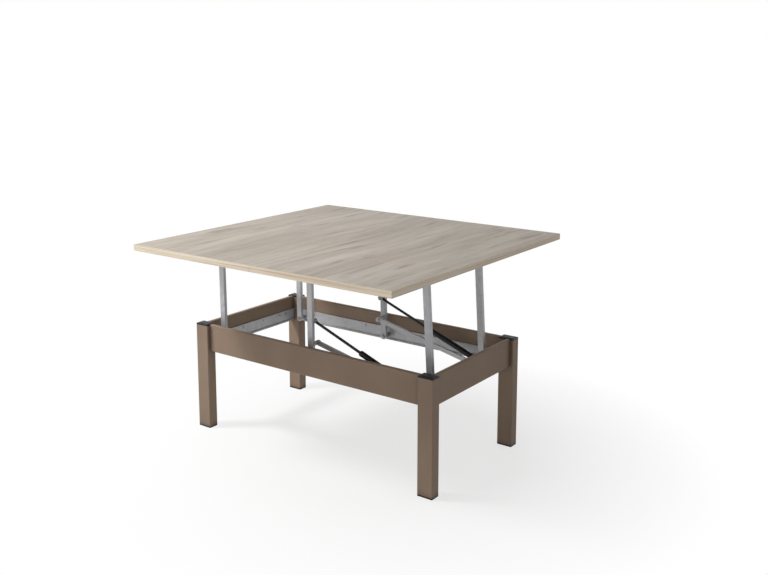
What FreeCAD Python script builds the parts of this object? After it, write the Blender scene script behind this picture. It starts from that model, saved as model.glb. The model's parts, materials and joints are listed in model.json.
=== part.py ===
"""Convertible coffee and dining table, raised, turned and opened like a book.

Millimetres and degrees. X runs along the frame's long side, Y along its short side and Z up, with the
origin on the floor under the middle of the frame. Front is -Y and left is -X.
"""
import FreeCAD, Part
import math
import os
import re

import Sketcher

Vector = FreeCAD.Vector

# Driving sizes, one cell each
SIZES = {
    # Frame of legs and aprons
    "frame_length": 1090,
    "frame_width": 568,
    "base_height": 414,
    "leg_width": 60,
    "leg_depth": 40,
    "leg_wall": 2,
    "leg_round": 3,
    "foot_height": 6,
    "cap_height": 5,
    "cap_pad_margin": 6.5,
    "cap_pad_height": 1.4,
    "plug_depth": 14,
    "plug_gap": 0.1,
    "plastic_round": 0.9,
    "apron_height": 105,
    "apron_thickness": 16,
    "apron_wall": 1.5,
    "apron_round": 3,
    "apron_setback": 14,
    "apron_drop": 2.5,
    # Steel rails inside the aprons, and their screws
    "rail_height": 46,
    "rail_thickness": 3,
    "rail_flange": 8,
    "rail_hole_radius": 3.5,
    "rail_hole_spacing": 35,
    "rail_hole_inset": 55,
    "screw_radius": 2.5,
    "screw_length": 9,
    "screw_head_radius": 5,
    "screw_head_height": 2.4,
    "screw_drop": 12,
    # Table top
    "leaf_overhang": 2,
    "leaf_thickness": 22,
    "leaf_rise": 38.03,
    "edging_thickness": 1.2,
    "edging_round": 0.6,
    "seam_gap": 0.4,
    "closing_gap": 0.4,
    "hinge_barrel_radius": 7,
    "hinge_barrel_length": 24,
    # Lift arms
    "arm_length": 370,
    "arm_width": 24,
    "arm_thickness": 14,
    "arm_round": 2,
    "arm_lean": 0.7,
    "arm_floor_gap": 2,
    "arm_side_gap": 24,
    "left_pivot_inset": 55,
    "mid_pivot_offset": 18,
    "pivot_drop": 84,
    "pivot_radius": 5,
    "pivot_clearance": 0.05,
    "nut_radius": 8.5,
    "nut_height": 6,
    "spacer_radius": 8,
    "thread_end": 1.5,
    "face_gap": 0.3,
    # Carriage under the top
    "plate_thickness": 3,
    "plate_margin": 12,
    "plate_gap": 0.5,
    "carriage_margin": 16,
    "carriage_flange": 25,
    "crossbar_width": 30,
    "crossbar_height": 10,
    "crossbar_wall": 1.5,
    "crossbar_inset": 4,
    # Swivel between the carriage and the top
    "swivel_gap": 6,
    "swivel_beam_width": 130,
    "swivel_plate_margin": 4,
    "swivel_plate_thickness": 2,
    "swivel_ring_radius": 54,
    "swivel_ring_bore": 20,
    "swivel_bolt_radius": 6,
    "swivel_nut_radius": 10,
    "swivel_nut_height": 7,
    "swivel_screw_gap": 2,
    "swivel_screw_length": 15,
    "swivel_screw_head": 1.6,
    "glide_pad_length": 30,
    "glide_pad_width": 18,
    # Gas springs
    "spring_plane_gap": 1.5,
    "spring_radius": 10.5,
    "spring_collar_radius": 9.5,
    "spring_collar_length": 4,
    "spring_rod_radius": 5,
    "spring_rod_engagement": 12,
    "spring_bore_end": 8,
    "spring_reach": 230,
    "spring_neck": 16,
    "spring_neck_radius": 6,
    "spring_eye_radius": 9,
    "spring_eye_width": 14,
    "spring_eye_pin_radius": 4,
    "spring_arm_distance": 160,
    "spring_base_inset": 108,
    "spring_base_drop": 2,
    "spring_bracket_width": 30,
    "spring_bracket_rise": 13,
    # Links from the middle arms to the prop cranks
    "link_gap": 1,
    "link_width": 18,
    "link_thickness": 8,
    "link_arm_distance": 76,
    # Props under the flap
    "prop_pivot_inset": 51,
    "prop_pivot_rise": 15,
    "prop_width": 25,
    "prop_thickness": 15,
    "prop_lean": 3.4,
    "prop_bar_width": 24,
    "prop_bar_height": 15,
    "prop_bar_wall": 1.5,
    "prop_pad_length": 60,
    "prop_pad_height": 4,
    "prop_pad_inset": 17.5,
    "crank_radius": 58,
    "crank_slope": 35,
    "crank_gap": 2,
    "crank_thickness": 4,
    "crank_width": 20,
    "bracket_gap": 3.5,
    "bracket_thickness": 4,
    "bracket_margin": 14,
    "bracket_flange": 30,
    # Room that each cutting shape runs past what it cuts
    "overrun": 1,
}

# Sizes and places worked out from the driving sizes, in the order that they depend on each other
LAYOUT = {
    "leg_x": "(frame_length - leg_width) / 2",
    "leg_y": "(frame_width - leg_depth) / 2",
    "leg_top": "base_height - cap_height - cap_pad_height",
    "leg_tube_length": "leg_top - foot_height",
    "plug_x_size": "leg_width - 2 * leg_wall - 2 * plug_gap",
    "plug_y_size": "leg_depth - 2 * leg_wall - 2 * plug_gap",
    "cap_pad_x_size": "leg_width - 2 * cap_pad_margin",
    "cap_pad_y_size": "leg_depth - 2 * cap_pad_margin",
    "apron_top": "base_height - apron_drop",
    "apron_z": "apron_top - apron_height / 2",
    "apron_long": "frame_length - 2 * leg_width",
    "apron_short": "frame_width - 2 * leg_depth",
    "apron_x": "frame_length / 2 - apron_setback - apron_thickness / 2",
    "apron_y": "frame_width / 2 - apron_setback - apron_thickness / 2",
    "apron_inner_x": "apron_x - apron_thickness / 2",
    "apron_inner_y": "apron_y - apron_thickness / 2",
    "rail_inner_x": "apron_inner_x - rail_thickness",
    "rail_inner_y": "apron_inner_y - rail_thickness",
    # Lower pivots of the arms, which set the height of the rails
    "pivot_height": "base_height - pivot_drop",
    "left_pivot_x": "left_pivot_inset - rail_inner_x",
    "mid_pivot_x": "-mid_pivot_offset",
    "rail_top_of_flange": "pivot_height - arm_width / 2 - arm_floor_gap",
    "rail_bottom": "rail_top_of_flange - rail_thickness",
    "rail_top": "rail_bottom + rail_height",
    "rail_edge_x": "apron_inner_x - rail_flange",
    "rail_edge_y": "apron_inner_y - rail_flange",
    "screw_z": "rail_top - screw_drop",
    # Upper pivots of the arms, which lean back past the vertical
    "arm_shift": "arm_length * sin(arm_lean)",
    "upper_pivot_z": "pivot_height + arm_length * cos(arm_lean)",
    "left_upper_x": "left_pivot_x - arm_shift",
    "mid_upper_x": "mid_pivot_x - arm_shift",
    # Leaves of the top, each just larger than the frame that it closes
    "leaf_length": "frame_length + 2 * leaf_overhang",
    "leaf_width": "frame_width + 2 * leaf_overhang",
    "leaf_bottom": "upper_pivot_z + leaf_rise",
    "leaf_middle": "leaf_bottom + leaf_thickness / 2",
    "leaf_top": "leaf_bottom + leaf_thickness",
    "leaf_near": "seam_gap / 2",
    "leaf_far": "seam_gap / 2 + leaf_width",
    # The top travels along X as the arms fold, so its swivel stands off the middle of its leaf
    "lift_drop": "leaf_bottom - base_height - closing_gap",
    "fold_angle": "acos(cos(arm_lean) - lift_drop / arm_length)",
    "lift_travel": "arm_length * sin(fold_angle) + arm_shift",
    "leaf_centre": "(leaf_near + leaf_far) / 2",
    "swivel_x": "-(leaf_centre + lift_travel) / 2",
    "swivel_y": "(lift_travel - leaf_centre) / 2",
    # Planes of the moving parts, counted inwards from the base rails
    "arm_outer": "rail_inner_y - arm_side_gap",
    "arm_inner": "arm_outer - arm_thickness",
    "arm_y": "arm_outer - arm_thickness / 2",
    "plate_inner": "arm_outer + plate_gap",
    "plate_outer": "plate_inner + plate_thickness",
    "spring_y": "arm_inner - spring_plane_gap - spring_radius",
    "link_outer": "spring_y - spring_radius - link_gap",
    "link_inner": "link_outer - link_thickness",
    "link_y": "link_outer - link_thickness / 2",
    "crank_outer": "link_inner - crank_gap",
    "crank_y": "crank_outer - crank_thickness / 2",
    "prop_outer": "crank_outer - crank_thickness",
    "prop_inner": "prop_outer - prop_thickness",
    "prop_y": "prop_outer - prop_thickness / 2",
    "bracket_outer": "prop_inner - bracket_gap",
    "bracket_inner": "bracket_outer - bracket_thickness",
    # Heights of the carriage
    "carriage_top": "leaf_bottom - swivel_gap",
    "flange_bottom": "carriage_top - plate_thickness",
    "carriage_left": "left_upper_x - carriage_margin",
    "carriage_right": "mid_upper_x + carriage_margin",
    "crossbar_left_x": "left_upper_x + crossbar_inset",
    "crossbar_right_x": "mid_upper_x - crossbar_inset",
    "swivel_screw_circle": "swivel_ring_radius + swivel_screw_gap + screw_head_radius",
    "swivel_plate_radius": "swivel_screw_circle + screw_head_radius + swivel_plate_margin",
    # Gas spring from the base bracket up to the middle arm
    "spring_base_x": "rail_inner_x - spring_base_inset",
    "spring_base_height": "pivot_height - spring_base_drop",
    "spring_pin_x": "mid_pivot_x - spring_arm_distance * sin(arm_lean)",
    "spring_pin_z": "pivot_height + spring_arm_distance * cos(arm_lean)",
    "spring_run": "spring_pin_x - spring_base_x",
    "spring_rise": "spring_pin_z - spring_base_height",
    "spring_length": "sqrt(spring_run * spring_run + spring_rise * spring_rise)",
    "spring_turn": "atan2(spring_run; spring_rise)",
    "spring_rod_start": "spring_reach - spring_rod_engagement",
    # Link from the middle arm down to the crank pin
    "prop_pivot_x": "rail_inner_x - prop_pivot_inset",
    "prop_pivot_height": "pivot_height + prop_pivot_rise",
    "link_start_x": "mid_pivot_x - link_arm_distance * sin(arm_lean)",
    "link_start_z": "pivot_height + link_arm_distance * cos(arm_lean)",
    "crank_pin_x": "prop_pivot_x - crank_radius * cos(crank_slope)",
    "crank_pin_z": "prop_pivot_height - crank_radius * sin(crank_slope)",
    "link_run": "crank_pin_x - link_start_x",
    "link_fall": "crank_pin_z - link_start_z",
    "link_length": "sqrt(link_run * link_run + link_fall * link_fall)",
    "link_turn": "atan2(link_run; link_fall)",
    # Props, up to the pads just under the flap
    "prop_bar_top": "leaf_bottom - face_gap - prop_pad_height",
    "prop_rise": "prop_bar_top - prop_width / 2 - prop_pivot_height",
    "prop_length": "prop_rise / cos(prop_lean)",
    "prop_top_x": "prop_pivot_x - prop_length * sin(prop_lean)",
    "prop_pad_y": "prop_inner - prop_pad_inset - prop_pad_length / 2",
}

# Places along a rail or a leaf, as shares of its length
LONG_RAIL_SCREW_SHARES = (-0.42, -0.14, 0.14, 0.42)
SHORT_RAIL_SCREW_SHARES = (-0.12, 0.12)
HINGE_BARREL_SHARES = (-0.38, 0, 0.38)
SWIVEL_SCREW_COUNT = 6
HEXAGON_SIDES = 6

SIDES = {"front": -1, "back": 1}
ENDS = {"left": -1, "right": 1}
ARMS = ("left", "mid")

doc = FreeCAD.newDocument("ConvertibleTable")


def fill_sheet(name, cells):
    """Writes one sheet with a row for each alias."""
    sheet = doc.addObject("Spreadsheet::Sheet", name)
    for row, (alias, content) in enumerate(cells.items(), start=1):
        sheet.set(f"A{row}", alias)
        sheet.set(f"B{row}", str(content))
        sheet.setAlias(f"B{row}", alias)
    doc.recompute()
    return sheet


def cells_of(formula):
    """Turns the plain names in a formula into references to the sheets' cells."""
    def reference(match):
        word = match.group()
        if word in SIZES:
            return f"Sizes.{word}"
        if word in LAYOUT:
            return f"Layout.{word}"
        return word
    return re.sub(r"[a-z]\w*", reference, str(formula))


sizes = fill_sheet("Sizes", SIZES)
layout = fill_sheet("Layout", {alias: "=" + cells_of(formula) for alias, formula in LAYOUT.items()})
nodes = []


def value(formula):
    """The number that a formula gives now."""
    return float(sizes.evalExpression(cells_of(formula)))


def bind(item, **formulas):
    """Binds properties of a document object to formulas."""
    for name, formula in formulas.items():
        item.setExpression(name, cells_of(formula))


def place(item, x=0, y=0, z=0, axis=None, turn=None):
    """Binds an object's place and, with an axis, its turn."""
    if axis is not None:
        item.Placement = FreeCAD.Placement(Vector(), FreeCAD.Rotation(axis, 1))
        item.setExpression("Placement.Rotation.Angle", cells_of(turn))
    for name, formula in zip("xyz", (x, y, z)):
        item.setExpression(f"Placement.Base.{name}", cells_of(formula))


def node(item, label):
    """Marks an object as a finished sub-part of the table."""
    item.Label = label
    nodes.append(item)
    return item


def on_side(sign, low, high):
    """A span of distances from the middle, on the side that the sign gives."""
    return (low, high) if sign > 0 else (f"-({high})", f"-({low})")


def block(label, x, y, z):
    """A box between a low and a high formula on each axis."""
    box = doc.addObject("Part::Box", label)
    for size, (low, high) in zip(("Length", "Width", "Height"), (x, y, z)):
        bind(box, **{size: f"({high}) - ({low})"})
    place(box, x[0], y[0], z[0])
    return box


def lay_along(item, x, y, z):
    """Stands an upright solid along the one axis that is given as a span."""
    bases = [span[0] if isinstance(span, tuple) else span for span in (x, y, z)]
    low, high = next(span for span in (x, y, z) if isinstance(span, tuple))
    bind(item, Height=f"({high}) - ({low})")
    if isinstance(x, tuple):
        place(item, *bases, axis=Vector(0, 1, 0), turn=90)
    elif isinstance(y, tuple):
        place(item, *bases, axis=Vector(1, 0, 0), turn=-90)
    else:
        place(item, *bases)
    return item


def cylinder(label, radius, x, y, z):
    """A round bar along the axis that is given as a span."""
    bar = doc.addObject("Part::Cylinder", label)
    bind(bar, Radius=radius)
    return lay_along(bar, x, y, z)


def hexagon(label, radius, x, y, z):
    """A hexagonal bar, such as a nut, along the axis that is given as a span."""
    bar = doc.addObject("Part::Prism", label)
    bar.Polygon = HEXAGON_SIDES
    bind(bar, Circumradius=radius)
    return lay_along(bar, x, y, z)


def fuse(label, *items):
    """One solid of several."""
    joined = doc.addObject("Part::MultiFuse", label)
    joined.Shapes = list(items)
    joined.Refine = True
    return joined


def group(label, items):
    """Several separate solids in one sub-part."""
    together = doc.addObject("Part::Compound", label)
    together.Links = list(items)
    return together


def cut(label, base, tools):
    """A solid less one or more others, which stand apart from each other."""
    cutter = tools[0] if len(tools) == 1 else group(f"{label}_cutters", tools)
    rest = doc.addObject("Part::Cut", label)
    rest.Base = base
    rest.Tool = cutter
    return rest


def new_sketch(body, name, role):
    """A sketch on one of a body's own origin planes."""
    plane = next(item for item in body.Origin.OriginFeatures if item.Role == role)
    sketch = body.newObject("Sketcher::SketchObject", name)
    sketch.AttachmentSupport = (plane, [""])
    sketch.MapMode = "FlatFace"
    return sketch


def constrain(sketch, formula, kind, *places):
    """Adds one dimension to a sketch and binds it."""
    index = sketch.addConstraint(Sketcher.Constraint(kind, *places, value(formula)))
    sketch.setExpression(f"Constraints[{index}]", cells_of(formula))


def draw_rectangle(sketch, wide, tall):
    """A rectangle about the sketch's origin."""
    right, top = value(wide) / 2, value(tall) / 2
    corners = [Vector(-right, -top), Vector(right, -top), Vector(right, top), Vector(-right, top)]
    lines = [sketch.addGeometry(Part.LineSegment(corners[i - 1], corners[i])) for i in range(len(corners))]
    left, bottom, far, upper = lines
    for line, following in zip(lines, lines[1:] + lines[:1]):
        sketch.addConstraint(Sketcher.Constraint("Coincident", line, 2, following, 1))
    for line in (left, far):
        sketch.addConstraint(Sketcher.Constraint("Vertical", line))
    for line in (bottom, upper):
        sketch.addConstraint(Sketcher.Constraint("Horizontal", line))
    sketch.addConstraint(Sketcher.Constraint("Symmetric", bottom, 1, far, 2, -1, 1))
    constrain(sketch, wide, "DistanceX", bottom, 1, bottom, 2)
    constrain(sketch, tall, "DistanceY", far, 1, far, 2)


def round_edges(body, feature, radius, chosen):
    """Rounds the edges of a feature that a test picks."""
    doc.recompute()
    names = [f"Edge{i}" for i, edge in enumerate(feature.Shape.Edges, start=1) if chosen(edge)]
    rounding = body.newObject("PartDesign::Fillet", f"{body.Name}_rounding")
    rounding.Base = (feature, names)
    bind(rounding, Radius=radius)
    return rounding


def upright_outer_edge(wide, tall):
    """A test for the long outer edges of an upright bar."""
    right, top = value(wide) / 2, value(tall) / 2
    slack = value("overrun") / 100

    def chosen(edge):
        point = edge.CenterOfMass
        return abs(abs(point.x) - right) < slack and abs(abs(point.y) - top) < slack
    return chosen


def tube(label, wide, tall, wall, radius, length):
    """A rectangular tube along Z from the origin, with rounded outer edges."""
    body = doc.addObject("PartDesign::Body", label)
    sketch = new_sketch(body, f"{label}_section", "XY_Plane")
    draw_rectangle(sketch, wide, tall)
    draw_rectangle(sketch, f"{wide} - 2 * {wall}", f"{tall} - 2 * {wall}")
    pad = body.newObject("PartDesign::Pad", f"{label}_pad")
    pad.Profile = sketch
    bind(pad, Length=length)
    round_edges(body, pad, radius, upright_outer_edge(wide, tall))
    return body


def slab(label, wide, tall, height, corner_radius, edge_radius, rounded_top):
    """A flat block on the XY plane with rounded corners and one rounded rim."""
    body = doc.addObject("PartDesign::Body", label)
    sketch = new_sketch(body, f"{label}_section", "XY_Plane")
    draw_rectangle(sketch, wide, tall)
    pad = body.newObject("PartDesign::Pad", f"{label}_pad")
    pad.Profile = sketch
    bind(pad, Length=height)
    corners = round_edges(body, pad, corner_radius, upright_outer_edge(wide, tall))
    doc.recompute()
    rim = value(height) if rounded_top else 0
    slack = value("overrun") / 100
    round_edges(body, corners, edge_radius, lambda edge: abs(edge.CenterOfMass.z - rim) < slack)
    return body


def flat_bar(label, length, width, thickness, bores, rounding=None):
    """A flat bar with round ends, upright from its first pivot, with its thickness along Y.

    The bores are pairs of a height above the first pivot and a radius.
    """
    body = doc.addObject("PartDesign::Body", label)
    sketch = new_sketch(body, f"{label}_outline", "XZ_Plane")
    radius, top = value(width) / 2, value(length)
    low = Part.ArcOfCircle(Part.Circle(Vector(), Vector(0, 0, 1), radius), math.pi, 2 * math.pi)
    high = Part.ArcOfCircle(Part.Circle(Vector(0, top), Vector(0, 0, 1), radius), 0, math.pi)
    right = Part.LineSegment(Vector(radius, 0), Vector(radius, top))
    left = Part.LineSegment(Vector(-radius, top), Vector(-radius, 0))
    outline = [sketch.addGeometry(piece) for piece in (low, right, high, left)]
    for piece, following in zip(outline, outline[1:] + outline[:1]):
        sketch.addConstraint(Sketcher.Constraint("Tangent", piece, 2, following, 1))
    sketch.addConstraint(Sketcher.Constraint("Coincident", outline[0], 3, -1, 1))
    sketch.addConstraint(Sketcher.Constraint("PointOnObject", outline[2], 3, -2))
    constrain(sketch, f"{width} / 2", "Radius", outline[0])
    constrain(sketch, length, "DistanceY", -1, 1, outline[2], 3)
    pad = body.newObject("PartDesign::Pad", f"{label}_pad")
    pad.Profile = sketch
    pad.Midplane = True
    bind(pad, Length=thickness)
    if rounding is not None:
        half, slack = value(thickness) / 2, value("overrun") / 100
        round_edges(body, pad, rounding, lambda edge: abs(abs(edge.CenterOfMass.y) - half) < slack)
    holes = new_sketch(body, f"{label}_bores", "XZ_Plane")
    for height, bore in bores:
        circle = holes.addGeometry(Part.Circle(Vector(0, value(height)), Vector(0, 0, 1), value(bore)))
        holes.addConstraint(Sketcher.Constraint("PointOnObject", circle, 3, -2))
        constrain(holes, bore, "Radius", circle)
        if value(height) == 0:
            holes.addConstraint(Sketcher.Constraint("PointOnObject", circle, 3, -1))
        else:
            constrain(holes, height, "DistanceY", -1, 1, circle, 3)
    pocket = body.newObject("PartDesign::Pocket", f"{label}_pocket")
    pocket.Profile = holes
    pocket.Type = "ThroughAll"
    pocket.Midplane = True
    return body


PIVOT_BORE = "pivot_radius + pivot_clearance"


def make_legs():
    """Rectangular tube legs, each with a plastic cap that the closed top rests on, and a foot."""
    for side, across in SIDES.items():
        for end, along in ENDS.items():
            corner = f"{side}_{end}"
            x, y = f"{along} * leg_x", f"{across} * leg_y"
            leg = tube(f"leg_{corner}", "leg_width", "leg_depth", "leg_wall", "leg_round", "leg_tube_length")
            place(leg, x, y, "foot_height")
            node(leg, f"leg_{corner}")

            plate = slab(f"cap_plate_{corner}", "leg_width", "leg_depth", "cap_height",
                         "leg_round", "plastic_round", rounded_top=True)
            place(plate, x, y, "leg_top")
            pad = slab(f"cap_pad_{corner}", "cap_pad_x_size", "cap_pad_y_size", "cap_pad_height",
                       "leg_round", "plastic_round", rounded_top=True)
            place(pad, x, y, "leg_top + cap_height")
            cap_plug = plug(f"cap_plug_{corner}", x, y, ("leg_top - plug_depth", "leg_top"))
            node(fuse(f"cap_{corner}", plate, cap_plug, pad), f"cap_{corner}")

            glide = slab(f"foot_glide_{corner}", "leg_width", "leg_depth", "foot_height",
                         "leg_round", "plastic_round", rounded_top=False)
            place(glide, x, y, 0)
            foot_plug = plug(f"foot_plug_{corner}", x, y, ("foot_height", "foot_height + plug_depth"))
            node(fuse(f"foot_{corner}", glide, foot_plug), f"foot_{corner}")


def plug(label, x, y, z):
    """The part of a cap or foot that sits inside the leg tube."""
    return block(label, (f"{x} - plug_x_size / 2", f"{x} + plug_x_size / 2"),
                 (f"{y} - plug_y_size / 2", f"{y} + plug_y_size / 2"), z)


def make_aprons():
    """Four rectangular tubes between the legs, drilled for the rail screws."""
    for side, across in SIDES.items():
        rail = tube(f"apron_tube_{side}", "apron_height", "apron_thickness",
                    "apron_wall", "apron_round", "apron_long")
        place(rail, "-apron_long / 2", f"{across} * apron_y", "apron_z", axis=Vector(0, 1, 0), turn=90)
        wall = on_side(across, "apron_inner_y - overrun", "apron_inner_y + apron_wall + overrun")
        holes = [cylinder(f"apron_{side}_hole_{i}", "screw_radius", f"{share} * apron_long", wall, "screw_z")
                 for i, share in enumerate(LONG_RAIL_SCREW_SHARES)]
        node(cut(f"apron_{side}", rail, holes), f"apron_{side}")
    for end, along in ENDS.items():
        rail = tube(f"apron_tube_{end}", "apron_thickness", "apron_height",
                    "apron_wall", "apron_round", "apron_short")
        place(rail, f"{along} * apron_x", "-apron_short / 2", "apron_z", axis=Vector(1, 0, 0), turn=-90)
        wall = on_side(along, "apron_inner_x - overrun", "apron_inner_x + apron_wall + overrun")
        holes = [cylinder(f"apron_{end}_hole_{i}", "screw_radius", wall, f"{share} * apron_short", "screw_z")
                 for i, share in enumerate(SHORT_RAIL_SCREW_SHARES)]
        holes += [cylinder(f"apron_{end}_slot_{name}", "rail_hole_radius", wall, y, "screw_z")
                  for name, y in rail_hole_places()]
        node(cut(f"apron_{end}", rail, holes), f"apron_{end}")


def rail_hole_places():
    """Names and distances along Y of the open holes in each short rail."""
    for side, across in SIDES.items():
        for i, step in enumerate(("0", "rail_hole_spacing")):
            yield f"{side}_{i}", f"{across} * (apron_short / 2 - rail_hole_inset - {step})"


def make_base_rails():
    """Steel rails screwed inside the aprons, which carry every lower pivot."""
    screws = []
    for side, across in SIDES.items():
        long_span = ("-apron_long / 2", "apron_long / 2")
        web = block(f"base_web_{side}", long_span, on_side(across, "rail_inner_y", "apron_inner_y"),
                    ("rail_bottom", "rail_top"))
        flange = block(f"base_flange_{side}", long_span, on_side(across, "rail_edge_y", "rail_inner_y"),
                       ("rail_bottom", "rail_top_of_flange"))
        through = on_side(across, "rail_inner_y - overrun", "apron_inner_y + overrun")
        holes = []
        for i, share in enumerate(LONG_RAIL_SCREW_SHARES):
            x = f"{share} * apron_long"
            holes.append(cylinder(f"base_rail_{side}_hole_{i}", "screw_radius", x, through, "screw_z"))
            screws.append(screw(f"screw_{side}_{i}", across, "rail_inner_y",
                                lambda span, x=x: (x, span, "screw_z")))
        angle = fuse(f"base_angle_{side}", web, flange)
        node(cut(f"base_rail_{side}", angle, holes), f"base_rail_{side}")
    for end, along in ENDS.items():
        short_span = ("-apron_short / 2", "apron_short / 2")
        web = block(f"base_web_{end}", on_side(along, "rail_inner_x", "apron_inner_x"), short_span,
                    ("rail_bottom", "rail_top"))
        through = on_side(along, "rail_inner_x - overrun", "apron_inner_x + overrun")
        holes = []
        for i, share in enumerate(SHORT_RAIL_SCREW_SHARES):
            y = f"{share} * apron_short"
            holes.append(cylinder(f"base_rail_{end}_hole_{i}", "screw_radius", through, y, "screw_z"))
            screws.append(screw(f"screw_{end}_{i}", along, "rail_inner_x",
                                lambda span, y=y: (span, y, "screw_z")))
        holes += [cylinder(f"base_rail_{end}_slot_{name}", "rail_hole_radius", through, y, "screw_z")
                  for name, y in rail_hole_places()]
        node(cut(f"base_rail_{end}", short_rail(end, along, web, short_span), holes), f"base_rail_{end}")
    node(group("base_rail_screws", screws), "base_rail_screws")


def short_rail(end, along, web, span):
    """The left rail has a flange, and the right one is flat to clear the cranks."""
    if end == "right":
        return web
    flange = block(f"base_flange_{end}", on_side(along, "rail_edge_x", "rail_inner_x"), span,
                   ("rail_bottom", "rail_top_of_flange"))
    return fuse(f"base_angle_{end}", web, flange)


def screw(label, sign, face, spans):
    """A round-headed screw whose head sits on a face and whose shank runs outwards through it."""
    head = cylinder(f"{label}_head", "screw_head_radius",
                    *spans(on_side(sign, f"{face} - screw_head_height", face)))
    shank = cylinder(f"{label}_shank", "screw_radius",
                     *spans(on_side(sign, f"{face}", f"{face} + screw_length")))
    return fuse(label, head, shank)


def make_lower_pivots():
    """Studs on the base rails that the lift arms turn on, with spacers and nuts."""
    studs, spacers = [], []
    nut_end = "arm_inner - face_gap - nut_height"
    for side, across in SIDES.items():
        for arm in ARMS:
            x = f"{arm}_pivot_x"
            shank = cylinder(f"stud_{arm}_{side}", "pivot_radius", x,
                             on_side(across, f"{nut_end} - thread_end", "rail_inner_y"), "pivot_height")
            nut = hexagon(f"stud_nut_{arm}_{side}", "nut_radius", x,
                          on_side(across, nut_end, "arm_inner - face_gap"), "pivot_height")
            studs.append(fuse(f"lower_stud_{arm}_{side}", shank, nut))
            sleeve = cylinder(f"sleeve_{arm}_{side}", "spacer_radius", x,
                              on_side(across, "arm_outer + face_gap", "rail_inner_y"), "pivot_height")
            bore = cylinder(f"sleeve_bore_{arm}_{side}", PIVOT_BORE, x,
                            on_side(across, "arm_outer - overrun", "rail_inner_y + overrun"), "pivot_height")
            spacers.append(cut(f"lower_spacer_{arm}_{side}", sleeve, [bore]))
    node(group("lower_pivot_studs", studs), "lower_pivot_studs")
    node(group("lower_pivot_spacers", spacers), "lower_pivot_spacers")


def make_arms():
    """Two pairs of parallel lift arms, and the studs on the middle pair that the links hang on."""
    bores = [("0", PIVOT_BORE), ("arm_length", PIVOT_BORE)]
    studs = []
    for side, across in SIDES.items():
        for arm in ARMS:
            bar = flat_bar(f"{arm}_arm_{side}", "arm_length", "arm_width", "arm_thickness",
                           bores, "arm_round")
            place(bar, f"{arm}_pivot_x", f"{across} * arm_y", "pivot_height",
                  axis=Vector(0, 1, 0), turn="-arm_lean")
            node(bar, f"{arm}_arm_{side}")
        shank = cylinder(f"link_stud_shank_{side}", "pivot_radius", "link_start_x",
                         on_side(across, "link_inner - face_gap - nut_height - thread_end", "arm_inner"),
                         "link_start_z")
        collar = cylinder(f"link_stud_collar_{side}", "spacer_radius", "link_start_x",
                          on_side(across, "link_outer + face_gap", "arm_inner"), "link_start_z")
        nut = hexagon(f"link_stud_nut_{side}", "nut_radius", "link_start_x",
                      on_side(across, "link_inner - face_gap - nut_height", "link_inner - face_gap"),
                      "link_start_z")
        studs.append(fuse(f"link_stud_{side}", shank, collar, nut))
    node(group("link_studs", studs), "link_studs")


def make_carriage():
    """The hidden frame on top of the arms, which stays level and carries the swivel."""
    bolts, pads = [], []
    length = ("carriage_left", "carriage_right")
    for side, across in SIDES.items():
        web = block(f"carriage_web_{side}", length, on_side(across, "plate_inner", "plate_outer"),
                    ("upper_pivot_z - plate_margin", "carriage_top"))
        flange = block(f"carriage_lip_{side}", length,
                       on_side(across, "plate_outer - carriage_flange", "plate_inner"),
                       ("flange_bottom", "carriage_top"))
        holes = []
        for arm in ARMS:
            holes.append(cylinder(f"carriage_hole_{arm}_{side}", PIVOT_BORE, f"{arm}_upper_x",
                                  on_side(across, "plate_inner - overrun", "plate_outer + overrun"),
                                  "upper_pivot_z"))
            bolts.append(upper_bolt(arm, side, across))
        angle = fuse(f"carriage_angle_{side}", web, flange)
        node(cut(f"carriage_rail_{side}", angle, holes), f"carriage_rail_{side}")
        for end in ("left", "right"):
            x = f"crossbar_{end}_x"
            pads.append(block(f"glide_pad_{end}_{side}",
                              (f"{x} - glide_pad_length / 2", f"{x} + glide_pad_length / 2"),
                              on_side(across, "plate_outer - glide_pad_width", "plate_outer"),
                              ("carriage_top", "leaf_bottom - face_gap")))
    for end in ("left", "right"):
        bar = tube(f"carriage_crossbar_{end}", "crossbar_width", "crossbar_height", "crossbar_wall",
                   "crossbar_wall", "2 * plate_inner")
        place(bar, f"crossbar_{end}_x", "-plate_inner", "flange_bottom - crossbar_height / 2",
              axis=Vector(1, 0, 0), turn=-90)
        node(bar, f"carriage_crossbar_{end}")
    node(group("upper_pivot_bolts", bolts), "upper_pivot_bolts")
    node(group("glide_pads", pads), "glide_pads")


def upper_bolt(arm, side, across):
    """A bolt through the carriage's side plate that one arm turns on."""
    head = ("plate_outer", "plate_outer + nut_height")
    nut = ("arm_inner - face_gap - nut_height", "arm_inner - face_gap")
    pieces = [cylinder(f"upper_shank_{arm}_{side}", "pivot_radius", f"{arm}_upper_x",
                       on_side(across, nut[0], head[1]), "upper_pivot_z")]
    for name, span in (("head", head), ("nut", nut)):
        pieces.append(hexagon(f"upper_{name}_{arm}_{side}", "nut_radius", f"{arm}_upper_x",
                              on_side(across, *span), "upper_pivot_z"))
    return fuse(f"upper_bolt_{arm}_{side}", *pieces)


def swivel_screw_places():
    """Centres of the wood screws round the swivel."""
    for i in range(SWIVEL_SCREW_COUNT):
        angle = 360 * i / SWIVEL_SCREW_COUNT
        x = f"swivel_x + swivel_screw_circle * cos({angle})"
        y = f"swivel_y + swivel_screw_circle * sin({angle})"
        yield i, x, y


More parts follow.
